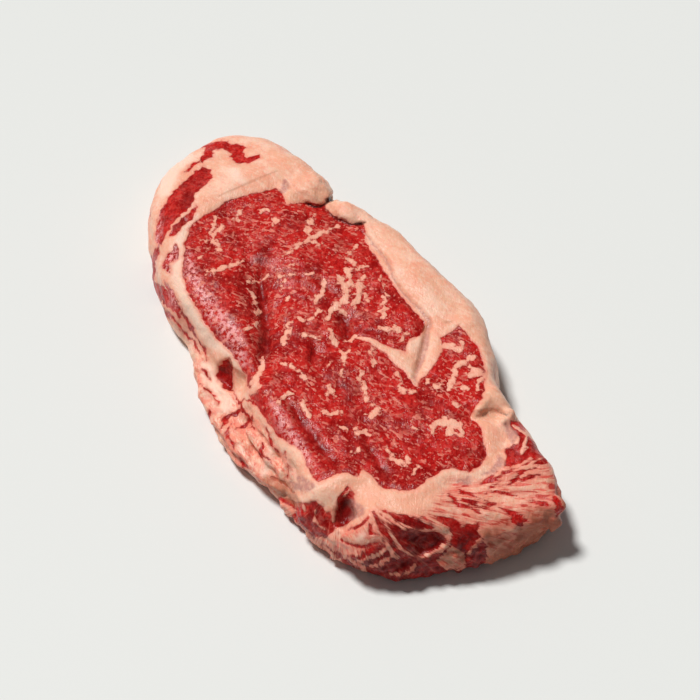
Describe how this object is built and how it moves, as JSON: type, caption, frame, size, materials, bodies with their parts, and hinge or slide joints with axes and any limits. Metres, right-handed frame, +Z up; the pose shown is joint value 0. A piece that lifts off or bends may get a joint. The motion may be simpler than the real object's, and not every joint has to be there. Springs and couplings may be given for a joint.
{
  "type": "raw beef steak",
  "caption": "Thick boneless rib-eye steak lying flat: marbled lean eye muscle, outer fat cap, fatty tail and a loose flap of fat along one side.",
  "frame": {"origin": "on the underside, under the middle of the steak's box", "axes": "+X along the steak towards its fatty tail end, +Y towards the thick outer fat cap, +Z up out of the cut face"},
  "size_m": [0.2256, 0.1102, 0.0288],
  "materials": {
    "beef": "moist raw meat with cream fat, soft uneven gloss"
  },
  "bodies": {
    "root": {"steak": "beef"}
  },
  "joints": []
}
